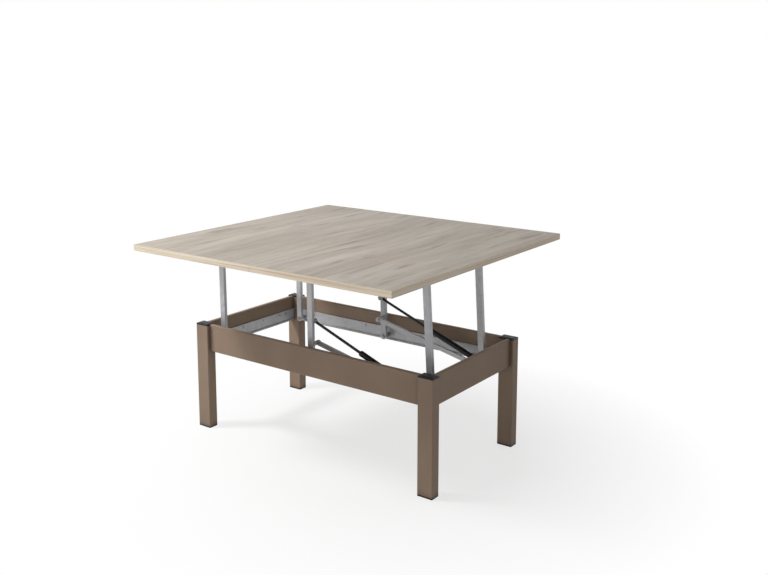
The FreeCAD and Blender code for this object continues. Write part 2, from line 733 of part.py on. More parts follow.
def make_swivel():
    """The turning joint: a beam and slide ring on the carriage, a plate and bolt on the base leaf."""
    beam = block("swivel_beam_blank",
                 ("crossbar_left_x - crossbar_width / 2", "crossbar_right_x + crossbar_width / 2"),
                 ("swivel_y - swivel_beam_width / 2", "swivel_y + swivel_beam_width / 2"),
                 ("flange_bottom", "carriage_top"))
    beam_bore = cylinder("swivel_beam_bore", "swivel_bolt_radius + pivot_clearance", "swivel_x", "swivel_y",
                         ("flange_bottom - overrun", "carriage_top + overrun"))
    node(cut("swivel_beam", beam, [beam_bore]), "swivel_beam")

    ring = cylinder("swivel_ring_blank", "swivel_ring_radius", "swivel_x", "swivel_y",
                    ("carriage_top", "leaf_bottom - swivel_plate_thickness - face_gap"))
    ring_bore = cylinder("swivel_ring_inside", "swivel_ring_bore", "swivel_x", "swivel_y",
                         ("carriage_top - overrun", "leaf_bottom"))
    node(cut("swivel_ring", ring, [ring_bore]), "swivel_ring")

    plate = cylinder("swivel_plate_blank", "swivel_plate_radius", "swivel_x", "swivel_y",
                     ("leaf_bottom - swivel_plate_thickness", "leaf_bottom"))
    plate_span = ("leaf_bottom - swivel_plate_thickness - overrun", "leaf_bottom + overrun")
    plate_holes = [cylinder(f"swivel_plate_hole_{i}", "screw_radius", x, y, plate_span)
                   for i, x, y in swivel_screw_places()]
    node(cut("swivel_plate", plate, plate_holes), "swivel_plate")

    nut_top = "flange_bottom - face_gap"
    bolt = cylinder("swivel_bolt_shank", "swivel_bolt_radius", "swivel_x", "swivel_y",
                    (f"{nut_top} - swivel_nut_height - thread_end", "leaf_bottom - swivel_plate_thickness"))
    nut = hexagon("swivel_nut_blank", "swivel_nut_radius", "swivel_x", "swivel_y",
                  (f"{nut_top} - swivel_nut_height", nut_top))
    nut_bore = cylinder("swivel_nut_bore", "swivel_bolt_radius", "swivel_x", "swivel_y",
                        (f"{nut_top} - swivel_nut_height - overrun", f"{nut_top} + overrun"))
    node(group("swivel_bolt_and_nut", [bolt, cut("swivel_nut", nut, [nut_bore])]), "swivel_bolt_and_nut")

    screws = []
    under_plate = "leaf_bottom - swivel_plate_thickness"
    for i, x, y in swivel_screw_places():
        head = cylinder(f"swivel_screw_head_{i}", "screw_head_radius", x, y,
                        (f"{under_plate} - swivel_screw_head", under_plate))
        shank = cylinder(f"swivel_screw_shank_{i}", "screw_radius", x, y,
                         (under_plate, f"{under_plate} + swivel_screw_length"))
        screws.append(fuse(f"swivel_screw_{i}", head, shank))
    node(group("swivel_screws", screws), "swivel_screws")


def make_leaves():
    """Two leaves, each a board with an edge band, joined by concealed barrel hinges."""
    screw_span = ("leaf_bottom - overrun", "leaf_bottom - swivel_plate_thickness + swivel_screw_length")
    screw_holes = [cylinder(f"leaf_screw_hole_{i}", "screw_radius", x, y, screw_span)
                   for i, x, y in swivel_screw_places()]
    for leaf, along, more_holes in (("base_leaf", -1, screw_holes), ("flap_leaf", 1, [])):
        barrel_span = on_side(along, "leaf_near", "leaf_near + hinge_barrel_length")
        sockets = [cylinder(f"{leaf}_socket_{i}", "hinge_barrel_radius",
                            on_side(along, "leaf_near - overrun", "leaf_near + hinge_barrel_length"),
                            f"{share} * leaf_length", "leaf_middle")
                   for i, share in enumerate(HINGE_BARREL_SHARES)]
        inside = (on_side(along, "leaf_near + edging_thickness", "leaf_far - edging_thickness"),
                  ("-leaf_length / 2 + edging_thickness", "leaf_length / 2 - edging_thickness"))
        board = block(f"{leaf}_blank", *inside, ("leaf_bottom", "leaf_top"))
        node(cut(f"{leaf}_board", board, sockets + more_holes), f"{leaf}_board")

        band = slab(f"{leaf}_band", "leaf_width", "leaf_length", "leaf_thickness",
                    "edging_thickness", "edging_round", rounded_top=True)
        place(band, f"{along} * leaf_centre", 0, "leaf_bottom")
        core = block(f"{leaf}_core", *inside, ("leaf_bottom - overrun", "leaf_top + overrun"))
        band_sockets = [cylinder(f"{leaf}_band_socket_{i}", "hinge_barrel_radius",
                                 on_side(along, "leaf_near - overrun", "leaf_near + edging_thickness"),
                                 f"{share} * leaf_length", "leaf_middle")
                        for i, share in enumerate(HINGE_BARREL_SHARES)]
        node(cut(f"{leaf}_edging", band, [core] + band_sockets), f"{leaf}_edging")

        barrels = [cylinder(f"{leaf}_barrel_{i}", "hinge_barrel_radius", barrel_span,
                            f"{share} * leaf_length", "leaf_middle")
                   for i, share in enumerate(HINGE_BARREL_SHARES)]
        node(group(f"{leaf}_hinge_barrels", barrels), f"{leaf}_hinge_barrels")


def make_gas_springs():
    """A gas spring on each side, from a bracket on the base rail up to the middle arm."""
    brackets = []
    for side, across in SIDES.items():
        y = f"{across} * spring_y"
        eye_span = ("-spring_eye_width / 2", "spring_eye_width / 2")
        barrel = cylinder(f"spring_barrel_{side}", "spring_radius", 0, 0,
                          ("spring_neck", "spring_reach - spring_collar_length"))
        collar = cylinder(f"spring_collar_{side}", "spring_collar_radius", 0, 0,
                          ("spring_reach - spring_collar_length", "spring_reach"))
        neck = cylinder(f"spring_neck_{side}", "spring_neck_radius", 0, 0, ("0", "spring_neck"))
        eye = cylinder(f"spring_eye_{side}", "spring_eye_radius", 0, eye_span, 0)
        solid = fuse(f"spring_case_{side}", barrel, collar, neck, eye)
        rod_bore = cylinder(f"spring_bore_{side}", "spring_rod_radius + pivot_clearance", 0, 0,
                            ("spring_neck + spring_bore_end", "spring_reach + overrun"))
        eye_bore = cylinder(f"spring_eye_bore_{side}", "spring_eye_pin_radius + pivot_clearance", 0,
                            ("-spring_eye_width", "spring_eye_width"), 0)
        case = cut(f"spring_cylinder_{side}", solid, [rod_bore, eye_bore])
        place(case, "spring_base_x", y, "spring_base_height", axis=Vector(0, 1, 0), turn="spring_turn")
        node(case, f"spring_cylinder_{side}")

        rod = cylinder(f"spring_rod_shaft_{side}", "spring_rod_radius", 0, 0,
                       ("spring_rod_start", "spring_length"))
        rod_eye = cylinder(f"spring_rod_eye_{side}", "spring_eye_radius", 0, eye_span, "spring_length")
        pin = cylinder(f"spring_rod_pin_{side}", "spring_eye_pin_radius", 0,
                       on_side(across, "0", "arm_inner - face_gap - spring_y"), "spring_length")
        rod_piece = fuse(f"spring_rod_{side}", rod, rod_eye, pin)
        place(rod_piece, "spring_base_x", y, "spring_base_height", axis=Vector(0, 1, 0), turn="spring_turn")
        node(rod_piece, f"spring_rod_{side}")
        brackets.append(spring_bracket(side, across))
    node(group("spring_brackets", brackets), "spring_brackets")


def spring_bracket(side, across):
    """A bent plate on the base rail's flange with the pin of the gas spring's lower eye."""
    x = ("spring_base_x - spring_bracket_width / 2", "spring_base_x + spring_bracket_width / 2")
    foot_top = "rail_top_of_flange + plate_thickness"
    foot = block(f"spring_foot_{side}", x, on_side(across, "arm_inner", "rail_inner_y"),
                 ("rail_top_of_flange", foot_top))
    ear = block(f"spring_ear_{side}", x, on_side(across, "arm_inner", "arm_inner + plate_thickness"),
                (foot_top, "spring_base_height + spring_bracket_rise"))
    pin = cylinder(f"spring_ear_pin_{side}", "spring_eye_pin_radius", "spring_base_x",
                   on_side(across, "spring_y - spring_eye_width / 2 - thread_end", "arm_inner"),
                   "spring_base_height")
    return fuse(f"spring_bracket_{side}", foot, ear, pin)


def make_links():
    """Flat links that swing the props when the arms fold, with the pins at their crank ends."""
    pins = []
    for side, across in SIDES.items():
        bar = flat_bar(f"link_{side}", "link_length", "link_width", "link_thickness",
                       [("0", PIVOT_BORE), ("link_length", "pivot_radius")], "arm_round")
        place(bar, "link_start_x", f"{across} * link_y", "link_start_z",
              axis=Vector(0, 1, 0), turn="link_turn")
        node(bar, f"link_{side}")
        pins.append(cylinder(f"crank_pin_{side}", "pivot_radius", "crank_pin_x",
                             on_side(across, "crank_outer + face_gap", "link_outer"), "crank_pin_z"))
    node(group("crank_pins", pins), "crank_pins")


def make_props():
    """The folding frame that stands under the open flap, with its cranks, brackets and pivots."""
    cranks, bolts, brackets = [], [], []
    for side, across in SIDES.items():
        prop = flat_bar(f"prop_{side}", "prop_length", "prop_width", "prop_thickness",
                        [("0", PIVOT_BORE)], "arm_round")
        place(prop, "prop_pivot_x", f"{across} * prop_y", "prop_pivot_height",
              axis=Vector(0, 1, 0), turn="-prop_lean")
        node(prop, f"prop_{side}")
        crank = flat_bar(f"crank_{side}", "crank_radius", "crank_width", "crank_thickness",
                         [("0", PIVOT_BORE)])
        place(crank, "prop_pivot_x", f"{across} * crank_y", "prop_pivot_height",
              axis=Vector(0, 1, 0), turn="-90 - crank_slope")
        cranks.append(crank)
        bolts.append(prop_bolt(side, across))
        brackets.append(prop_bracket(side, across))
    node(group("prop_brackets", brackets), "prop_brackets")
    node(group("prop_cranks", cranks), "prop_cranks")
    node(group("prop_pivot_bolts", bolts), "prop_pivot_bolts")

    bar = tube("prop_crossbar", "prop_bar_width", "prop_bar_height", "prop_bar_wall",
               "prop_bar_wall", "2 * prop_inner")
    place(bar, "prop_top_x", "-prop_inner", "prop_bar_top - prop_bar_height / 2",
          axis=Vector(1, 0, 0), turn=-90)
    node(bar, "prop_crossbar")
    pads = []
    for side, across in SIDES.items():
        y = f"{across} * prop_pad_y"
        pads.append(block(f"prop_pad_{side}",
                          ("prop_top_x - prop_bar_width / 2", "prop_top_x + prop_bar_width / 2"),
                          (f"{y} - prop_pad_length / 2", f"{y} + prop_pad_length / 2"),
                          ("prop_bar_top", "leaf_bottom - face_gap")))
    node(group("prop_pads", pads), "prop_pads")


def prop_bolt(side, across):
    """The bolt that a prop and its crank turn on."""
    head = hexagon(f"prop_bolt_head_{side}", "nut_radius", "prop_pivot_x",
                   on_side(across, "bracket_inner - nut_height", "bracket_inner"), "prop_pivot_height")
    nut = hexagon(f"prop_bolt_nut_{side}", "nut_radius", "prop_pivot_x",
                  on_side(across, "crank_outer + face_gap", "crank_outer + face_gap + nut_height"),
                  "prop_pivot_height")
    shank = cylinder(f"prop_bolt_shank_{side}", "pivot_radius", "prop_pivot_x",
                     on_side(across, "bracket_inner - nut_height", "crank_outer + face_gap + nut_height"),
                     "prop_pivot_height")
    return fuse(f"prop_bolt_{side}", head, shank, nut)


def prop_bracket(side, across):
    """A bent plate on the right base rail that holds a prop's pivot."""
    z = ("rail_bottom", "prop_pivot_height + bracket_margin")
    cheek = block(f"prop_cheek_{side}", ("prop_pivot_x - bracket_margin", "rail_inner_x"),
                  on_side(across, "bracket_inner", "bracket_outer"), z)
    flange = block(f"prop_flange_{side}", ("rail_inner_x - bracket_thickness", "rail_inner_x"),
                   on_side(across, "bracket_outer - bracket_flange", "bracket_inner"), z)
    through = on_side(across, "bracket_inner - overrun", "bracket_outer + overrun")
    bore = cylinder(f"prop_cheek_bore_{side}", PIVOT_BORE, "prop_pivot_x", through, "prop_pivot_height")
    return cut(f"prop_bracket_{side}", fuse(f"prop_bent_plate_{side}", cheek, flange), [bore])


def write_parts():
    """Checks every object and writes one file for each sub-part."""
    doc.recompute()
    failed = [item.Label for item in doc.Objects if "Invalid" in item.State or "Error" in item.State]
    failed += [item.Label for item in nodes if item.Shape.isNull() or not item.Shape.isValid()]
    if failed:
        raise RuntimeError(f"not built: {failed}")
    os.makedirs("parts", exist_ok=True)
    for item in nodes:
        item.Shape.exportStep(f"parts/{item.Label}.step")


make_legs()
make_aprons()
make_base_rails()
make_lower_pivots()
make_arms()
make_carriage()
make_swivel()
make_leaves()
make_gas_springs()
make_links()
make_props()
write_parts()
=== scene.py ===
"""Looks of the convertible table: a finish for every piece, its studio and its camera. Metres."""
import json
import math

import bpy
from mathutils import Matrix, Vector


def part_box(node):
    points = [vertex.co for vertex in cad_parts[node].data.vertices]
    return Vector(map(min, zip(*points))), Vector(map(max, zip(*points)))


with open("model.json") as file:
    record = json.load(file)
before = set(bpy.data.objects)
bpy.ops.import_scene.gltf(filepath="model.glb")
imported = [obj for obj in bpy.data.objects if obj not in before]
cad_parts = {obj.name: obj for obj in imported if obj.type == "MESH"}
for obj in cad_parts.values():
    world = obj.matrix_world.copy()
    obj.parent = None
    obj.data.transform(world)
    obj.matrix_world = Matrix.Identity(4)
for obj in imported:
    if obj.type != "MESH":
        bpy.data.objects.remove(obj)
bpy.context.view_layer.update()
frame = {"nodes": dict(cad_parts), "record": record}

# Lengths that the finishes share or place their details by
MILLIMETRE = 0.001
GRAIN_DRIFT = 45 * MILLIMETRE
GRAIN_WAVER = 10 * MILLIMETRE
SEAM_REACH = 2.5 * MILLIMETRE
CORNER_SHADE_REACH = 28 * MILLIMETRE
EYE_RADIUS = 9 * MILLIMETRE

# Reach of the plating about the rod's eye, in radii of the eye: where it has ended and where it is whole
PLATING_SHARES = (1.35, 1.25)

# Keeps a place's length and height, and drops its depth
SIDE_VIEW = (1.0, 0.0, 1.0)

# Cosine between the eased and the plain surface normal, on a flat face and on a sharp edge
FLAT_COSINE = 0.995
EDGE_COSINE = 0.86
EDGE_SAMPLES = 4

# Share of the view that is free above a point, on an open face and in a tight inner corner
OPEN_SHARE = 0.95
CORNER_SHARE = 0.45
CORNER_SAMPLES = 8

# Sockets of the Mix node when it mixes colours
MIX_FACTOR, MIX_FIRST, MIX_SECOND, MIX_RESULT = 0, 6, 7, 2

# Floor, which keeps a share of its shading near the centre of the shadow and none of it far away
WHITE = (1.0, 1.0, 1.0, 1.0)
FLOOR_SIZE = 30.0
FLOOR_COLOUR = (0.9, 0.9, 0.9, 1.0)
FLOOR_ROUGHNESS = 0.7
SHADOW_SHARE = 0.32
SHADOW_CENTRE = (0.2, 0.0, 0.0)
SHADOW_NEAR = 0.45
SHADOW_FAR = 1.15

# Sky and lamps
BRIGHT_SIDE = (-0.75, -0.5, 0.43)
SKY_BRIGHT = 0.43
SKY_DIM = 0.33
KEY_LAMP = {"place": (-2.05, -1.55, 3.0), "target": (-1.55, -0.9, 0.7), "size": 0.7, "watts": 105}
FILL_LAMP = {"place": (-1.4, -3.7, 1.7), "target": (0.0, 0.0, 0.4), "size": 1.1, "watts": 8}

# Camera, with its lens and sensor in millimetres, its shifts in sensor widths and its angles in radians
LENS_LENGTH = 45.67
SENSOR_WIDTH = 36.0
SHIFT_RIGHT = -0.0005
SHIFT_UP = -0.1134
CAMERA_PLACE = (2.184, -2.7826, 1.4675)
CAMERA_DIP = 0.1581
CAMERA_TURN = 0.6325


def srgb(red, green, blue):
    """A colour written as screen levels from 0 to 255, as the shader's linear colour."""
    def linear(level):
        share = level / 255
        return share / 12.92 if share <= 0.04045 else ((share + 0.055) / 1.055) ** 2.4
    return (linear(red), linear(green), linear(blue), 1.0)


def add_node(tree, kind, inputs=None, **settings):
    """One node, with its settings and with each input either a value or another node's output."""
    node = tree.nodes.new(kind)
    for name, value in settings.items():
        setattr(node, name, value)
    for socket, value in (inputs or {}).items():
        if isinstance(value, bpy.types.NodeSocket):
            tree.links.new(value, node.inputs[socket])
        else:
            node.inputs[socket].default_value = value
    return node


class Finish:
    """A procedural material: its shader and the nodes that feed it."""

    def __init__(self, name, **constants):
        self.material = bpy.data.materials.new(name)
        self.material.use_nodes = True
        self.tree = self.material.node_tree
        self.shader = self.tree.nodes["Principled BSDF"]
        for socket, value in constants.items():
            self.shader.inputs[socket.replace("_", " ")].default_value = value
        self.place = self.add("ShaderNodeTexCoord").outputs["Object"]

    def add(self, kind, inputs=None, **settings):
        """One node of this material."""
        return add_node(self.tree, kind, inputs, **settings)

    def feed(self, socket, source):
        """Links an output to one of the shader's sockets."""
        self.tree.links.new(source, self.shader.inputs[socket])

    def axes(self):
        """The three coordinates of the place on the object, by the names X, Y and Z."""
        return self.add("ShaderNodeSeparateXYZ", {"Vector": self.place}).outputs

    def scaled(self, x, y, z):
        """The place on the object, in features per metre along each axis."""
        return self.add("ShaderNodeMapping", {"Vector": self.place, "Scale": (x, y, z)}).outputs[0]

    def noise(self, vector, detail, roughness=0.5, distortion=0.0):
        """Cloudy noise from 0 to 1, one feature to a unit of the vector."""
        inputs = {"Vector": vector, "Scale": 1.0, "Detail": detail, "Roughness": roughness,
                  "Distortion": distortion}
        return self.add("ShaderNodeTexNoise", inputs).outputs[0]

    def noise_over(self, first, second, detail, roughness, distortion=0.0):
        """Cloudy noise over two factors, one feature to a unit of either."""
        vector = self.add("ShaderNodeCombineXYZ", {"X": first, "Y": second}).outputs[0]
        return self.noise(vector, detail, roughness, distortion)

    def speckle(self, per_metre, detail, roughness=0.5):
        """Cloudy noise that is equally fine along every axis, in features per metre."""
        return self.noise(self.scaled(per_metre, per_metre, per_metre), detail, roughness)

    def ramp(self, factor, stops):
        """A colour for each level of a factor, from pairs of a level and a colour."""
        node = self.add("ShaderNodeValToRGB", {"Fac": factor})
        elements = node.color_ramp.elements
        while len(elements) < len(stops):
            elements.new(1.0)
        for element, (level, colour) in zip(elements, stops):
            element.position = level
            element.color = colour
        return node.outputs[0]

    def spread(self, factor, low, high, to_low=0.0, to_high=1.0):
        """Stretches part of a factor's range over another range."""
        inputs = {"Value": factor, "From Min": low, "From Max": high, "To Min": to_low, "To Max": to_high}
        return self.add("ShaderNodeMapRange", inputs).outputs[0]

    def within(self, factor, middle, reach):
        """1 where a factor is within reach of a middle value, and 0 elsewhere."""
        return self.add("ShaderNodeMath", {0: factor, 1: middle, 2: reach}, operation="COMPARE").outputs[0]

    def sum(self, first, second, share):
        """The first factor plus a share of the second."""
        inputs = {0: second, 1: share, 2: first}
        return self.add("ShaderNodeMath", inputs, operation="MULTIPLY_ADD").outputs[0]

    def product(self, first, second):
        """Two factors multiplied."""
        return self.add("ShaderNodeMath", {0: first, 1: second}, operation="MULTIPLY").outputs[0]

    def measure(self, operation, first, second):
        """One number from two vectors, such as their distance."""
        return self.add("ShaderNodeVectorMath", {0: first, 1: second}, operation=operation).outputs["Value"]

    def mix(self, factor, first, second):
        """The first colour with the second laid over it."""
        inputs = {MIX_FACTOR: factor, MIX_FIRST: first, MIX_SECOND: second}
        return self.add("ShaderNodeMix", inputs, data_type="RGBA").outputs[MIX_RESULT]

    def rounded(self, radius):
        """The surface normal with sharp edges eased to a radius."""
        return self.add("ShaderNodeBevel", {"Radius": radius}, samples=EDGE_SAMPLES).outputs[0]

    def edges(self, radius):
        """A factor that is 1 on sharp outer edges and 0 on flat faces."""
        plain = self.add("ShaderNodeNewGeometry").outputs["Normal"]
        cosine = self.measure("DOT_PRODUCT", self.rounded(radius), plain)
        return self.spread(cosine, FLAT_COSINE, EDGE_COSINE)

    def corners(self, reach):
        """A factor for painted shade: 1 in tight inner corners, where neighbouring parts shade each other,
        and 0 on open faces.
        """
        openness = self.add("ShaderNodeAmbientOcclusion", {"Distance": reach}, samples=CORNER_SAMPLES)
        return self.spread(openness.outputs["AO"], OPEN_SHARE, CORNER_SHARE)

    def bump(self, height, depth, edge_radius):
        """Feeds the shader's normal from a height factor of a real depth, over eased edges."""
        inputs = {"Height": height, "Distance": depth, "Normal": self.rounded(edge_radius)}
        self.feed("Normal", self.add("ShaderNodeBump", inputs).outputs[0])


def oak_top():
    """Grey-beige oak decor with its grain along the leaf, matt laminate with pressed pores."""
    finish = Finish("oak_top", Specular_IOR_Level=0.2)
    axes = finish.axes()
    drift = finish.noise(finish.scaled(2.6, 0.8, 1.0), detail=2.0)
    waver = finish.noise(finish.scaled(15.0, 2.4, 1.0), detail=3.0)
    across = finish.sum(finish.sum(axes["X"], drift, GRAIN_DRIFT), waver, GRAIN_WAVER)

    def figure(per_metre_across, per_metre_along, detail, roughness):
        """Noise drawn out along the grain, which drifts a little from side to side."""
        sideways = finish.product(across, per_metre_across)
        lengthways = finish.product(axes["Y"], per_metre_along)
        return finish.noise_over(sideways, lengthways, detail, roughness)

    bands = figure(7.5, 0.9, detail=2.0, roughness=0.5)
    streaks = figure(34.0, 2.4, detail=4.0, roughness=0.62)
    lines = figure(210.0, 5.0, detail=3.0, roughness=0.6)
    tone = finish.sum(finish.sum(finish.product(bands, 0.42), streaks, 0.40), lines, 0.18)
    body = finish.ramp(tone, [(0.34, srgb(145, 134, 122)), (0.45, srgb(164, 154, 142)),
                              (0.54, srgb(177, 168, 156)), (0.66, srgb(194, 185, 174))])

    marks = figure(24.0, 3.4, detail=3.0, roughness=0.55)
    body = finish.mix(finish.spread(marks, 0.57, 0.70, 0.0, 0.7), body, srgb(131, 118, 106))
    warmth = figure(9.0, 2.2, detail=2.0, roughness=0.5)
    body = finish.mix(finish.spread(warmth, 0.54, 0.72, 0.0, 0.35), body, srgb(176, 157, 140))
    pores = finish.spread(figure(560.0, 17.0, detail=1.0, roughness=0.5), 0.60, 0.72)
    body = finish.mix(finish.product(pores, 0.28), body, srgb(112, 101, 90))
    finish.feed("Base Color", body)
    finish.feed("Roughness", finish.spread(finish.sum(lines, pores, 0.4), 0.2, 1.1, 0.42, 0.60))
    finish.bump(finish.sum(lines, pores, -1.5), depth=0.04 * MILLIMETRE, edge_radius=0.3 * MILLIMETRE)
    return finish.material


def oak_edge():
    """Light oak edge band with its grain along the edge, and painted shade of the gap on the band's faces at
    the seam.
    """
    finish = Finish("oak_edge", Specular_IOR_Level=0.2)
    axes = finish.axes()
    along = finish.sum(axes["X"], axes["Y"], 1.0)

    def grain(per_metre_along, per_metre_across, detail):
        """Noise drawn out along the edge."""
        lengthways = finish.product(along, per_metre_along)
        upright = finish.product(axes["Z"], per_metre_across)
        return finish.noise_over(lengthways, upright, detail, roughness=0.6, distortion=0.3)

    bands = grain(1.6, 170.0, detail=3.0)
    lines = grain(6.0, 900.0, detail=2.0)
    tone = finish.sum(finish.product(bands, 0.7), lines, 0.3)
    outer = finish.ramp(tone, [(0.34, srgb(182, 160, 133)), (0.46, srgb(212, 196, 173)),
                               (0.60, srgb(228, 216, 199))])
    # Painted shade of the gap between the leaves: the band's faces at the seam are darkened
    low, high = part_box("flap_leaf_edging")
    near_seam = finish.within(axes["X"], low.x, SEAM_REACH)
    off_ends = finish.within(axes["Y"], (low.y + high.y) / 2, (high.y - low.y) / 2 - SEAM_REACH)
    seam_gap_shade = finish.product(near_seam, off_ends)
    finish.feed("Base Color", finish.mix(seam_gap_shade, outer, srgb(158, 148, 132)))
    finish.feed("Roughness", finish.spread(lines, 0.2, 0.8, 0.42, 0.58))
    finish.bump(lines, depth=0.03 * MILLIMETRE, edge_radius=0.3 * MILLIMETRE)
    return finish.material


def frame_paint():
    """Taupe satin powder coat: orange peel, faint clouding, painted shade in inner corners, and lighter edges
    that are partly rubbed paint and partly painted highlight.
    """
    finish = Finish("frame_paint", Specular_IOR_Level=0.12)
    clouds = finish.noise(finish.scaled(9.0, 9.0, 6.0), detail=4.0)
    peel = finish.speckle(420.0, detail=2.0)
    grit = finish.speckle(1600.0, detail=1.0)
    body = finish.ramp(clouds, [(0.3, srgb(134, 115, 99)), (0.5, srgb(138, 119, 102)),
                                (0.7, srgb(142, 123, 106))])
    # Painted shade: the paint turns dark brown in inner corners and joints, where the parts shade each other
    body = finish.mix(finish.product(finish.corners(CORNER_SHADE_REACH), 0.6), body, srgb(70, 58, 49))
    # Lighter edges, partly rubbed paint and partly painted highlight, patchy along each edge
    wear_and_highlight_share = finish.spread(clouds, 0.35, 0.7, 0.2, 0.6)
    rubbed_and_highlit = finish.product(finish.edges(radius=1.5 * MILLIMETRE), wear_and_highlight_share)
    finish.feed("Base Color", finish.mix(rubbed_and_highlit, body, srgb(168, 152, 138)))
    finish.feed("Roughness", finish.spread(finish.sum(peel, clouds, 0.6), 0.4, 1.2, 0.40, 0.54))
    finish.bump(finish.sum(peel, grit, 0.35), depth=0.05 * MILLIMETRE, edge_radius=1.0 * MILLIMETRE)
    return finish.material


def black_plastic():
    """Moulded black plastic with a fine spark-eroded texture."""
    finish = Finish("black_plastic", Specular_IOR_Level=0.2)
    texture = finish.speckle(2200.0, detail=2.0)
    clouds = finish.speckle(40.0, detail=3.0)
    finish.feed("Base Color", finish.ramp(clouds, [(0.3, srgb(23, 24, 27)), (0.7, srgb(33, 34, 38))]))
    finish.feed("Roughness", finish.spread(finish.sum(clouds, texture, 0.5), 0.3, 1.2, 0.34, 0.52))
    finish.bump(texture, depth=0.03 * MILLIMETRE, edge_radius=0.6 * MILLIMETRE)
    return finish.material


def grey_steel():
    """Silver-grey painted steel, slightly mottled, with brighter edges that are partly rubbed paint and
    partly painted highlight.
    """
    finish = Finish("grey_steel", Metallic=0.3, Specular_IOR_Level=0.5)
    mottle = finish.speckle(60.0, detail=5.0, roughness=0.65)
    clouds = finish.noise(finish.scaled(11.0, 11.0, 7.0), detail=3.0)
    grain = finish.speckle(1300.0, detail=1.0)
    tone = finish.sum(finish.product(mottle, 0.6), clouds, 0.4)
    body = finish.ramp(tone, [(0.35, srgb(164, 165, 170)), (0.5, srgb(177, 178, 181)),
                              (0.65, srgb(188, 189, 190))])
    # Lighter edges, partly rubbed paint and partly painted highlight, patchy along each edge
    wear_and_highlight_share = finish.spread(mottle, 0.4, 0.65, 0.0, 0.6)
    rubbed_and_highlit = finish.product(finish.edges(radius=0.8 * MILLIMETRE), wear_and_highlight_share)
    finish.feed("Base Color", finish.mix(rubbed_and_highlit, body, srgb(206, 206, 205)))
    finish.feed("Roughness", finish.spread(finish.sum(mottle, grain, 0.3), 0.3, 1.0, 0.36, 0.52))
    finish.bump(finish.sum(grain, mottle, 0.5), depth=0.03 * MILLIMETRE, edge_radius=0.8 * MILLIMETRE)
    return finish.material


def zinc_steel():
    """Zinc-plated fasteners, with a cloudy passivated sheen."""
    finish = Finish("zinc_steel", Metallic=1.0)
    clouds = finish.speckle(140.0, detail=4.0)
    scratches = finish.noise(finish.scaled(1800.0, 260.0, 1800.0), detail=2.0)
    finish.feed("Base Color", finish.ramp(clouds, [(0.35, srgb(150, 147, 138)), (0.5, srgb(166, 166, 164)),
                                                   (0.65, srgb(162, 167, 174))]))
    finish.feed("Roughness", finish.spread(finish.sum(clouds, scratches, 0.6), 0.4, 1.2, 0.34, 0.56))
    finish.bump(scratches, depth=0.015 * MILLIMETRE, edge_radius=0.5 * MILLIMETRE)
    return finish.material


def hinge_brass():
    """Turned brass with fine tool rings."""
    finish = Finish("hinge_brass", Metallic=1.0)
    rings = finish.noise(finish.scaled(2600.0, 60.0, 60.0), detail=2.0)
    tarnish = finish.speckle(90.0, detail=4.0)
    finish.feed("Base Color", finish.ramp(tarnish, [(0.35, srgb(178, 143, 78)), (0.65, srgb(207, 173, 104))]))
    finish.feed("Roughness", finish.spread(finish.sum(tarnish, rings, 0.5), 0.3, 1.2, 0.24, 0.44))
    finish.bump(rings, depth=0.02 * MILLIMETRE, edge_radius=0.4 * MILLIMETRE)
    return finish.material


def spring_black():
    """Black enamel of the gas spring's case."""
    finish = Finish("spring_black", Specular_IOR_Level=0.3)
    peel = finish.speckle(500.0, detail=2.0)
    dust = finish.speckle(70.0, detail=5.0)
    finish.feed("Base Color", finish.ramp(dust, [(0.35, srgb(9, 9, 11)), (0.7, srgb(17, 17, 19))]))
    finish.feed("Roughness", finish.spread(dust, 0.3, 0.75, 0.28, 0.44))
    finish.bump(peel, depth=0.03 * MILLIMETRE, edge_radius=0.8 * MILLIMETRE)
    return finish.material


def spring_rod_steel():
    """Black nitrided piston rod, ground smooth, with a zinc-plated eye at its end."""
    finish = Finish("spring_rod_steel", Metallic=0.6, Specular_IOR_Level=0.5)
    ground = finish.speckle(3000.0, detail=1.0)
    bloom = finish.speckle(50.0, detail=4.0)
    rod = finish.ramp(bloom, [(0.35, srgb(30, 30, 32)), (0.7, srgb(45, 45, 48))])
    plating = finish.ramp(bloom, [(0.35, srgb(146, 146, 146)), (0.7, srgb(168, 168, 169))])
    low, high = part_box("spring_rod_front")
    eye = (low.x + EYE_RADIUS, 0.0, high.z - EYE_RADIUS)
    seen_flat = finish.add("ShaderNodeVectorMath", {0: finish.place, 1: SIDE_VIEW}, operation="MULTIPLY")
    reach = finish.measure("DISTANCE", seen_flat.outputs[0], eye)
    bare_reach, plated_reach = [EYE_RADIUS * share for share in PLATING_SHARES]
    on_eye = finish.spread(reach, bare_reach, plated_reach)
    finish.feed("Base Color", finish.mix(on_eye, rod, plating))
    finish.feed("Roughness", finish.spread(finish.sum(bloom, ground, 0.4), 0.3, 1.1, 0.26, 0.42))
    finish.bump(ground, depth=0.01 * MILLIMETRE, edge_radius=0.4 * MILLIMETRE)
    return finish.material


def slide_plastic():
    """Natural nylon of the slide ring and pads, faintly translucent and scuffed."""
    finish = Finish("slide_plastic", Specular_IOR_Level=0.45, Subsurface_Weight=0.1,
                    Subsurface_Scale=2 * MILLIMETRE)
    scuffs = finish.speckle(120.0, detail=5.0)
    finish.feed("Base Color", finish.ramp(scuffs, [(0.3, srgb(206, 202, 190)), (0.7, srgb(226, 224, 214))]))
    finish.feed("Roughness", finish.spread(scuffs, 0.3, 0.7, 0.38, 0.58))
    finish.bump(scuffs, depth=0.04 * MILLIMETRE, edge_radius=0.5 * MILLIMETRE)
    return finish.material


